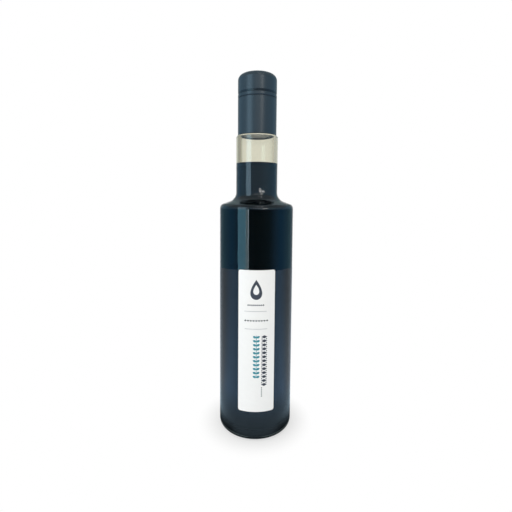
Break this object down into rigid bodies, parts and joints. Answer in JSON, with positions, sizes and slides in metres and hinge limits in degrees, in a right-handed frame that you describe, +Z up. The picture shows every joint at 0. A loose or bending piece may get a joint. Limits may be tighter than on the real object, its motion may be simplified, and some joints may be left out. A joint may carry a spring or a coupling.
{
  "type": "vinegar bottle",
  "caption": "Tall clear glass bottle with a straight body, flat shoulder and slim neck, filled with dark vinegar and shut by a long matte cap.",
  "frame": {"origin": "centre of the base, on the plane that the bottle stands on", "axes": "+Z up along the bottle's axis, the label faces -Y, +X to the viewer's right"},
  "size_m": [0.062, 0.0621, 0.2963],
  "materials": {
    "glass": "clear, smooth, very faint green",
    "vinegar": "near-black liquid with a still, glossy surface",
    "cap_paint": "matte anthracite lacquer on thin metal",
    "label_paper": "smooth white coated paper with plain printed shapes"
  },
  "bodies": {
    "root": {"bottle": "glass", "vinegar": "vinegar", "cap_sleeve": "cap_paint", "cap": "cap_paint", "label": "label_paper"}
  },
  "joints": []
}
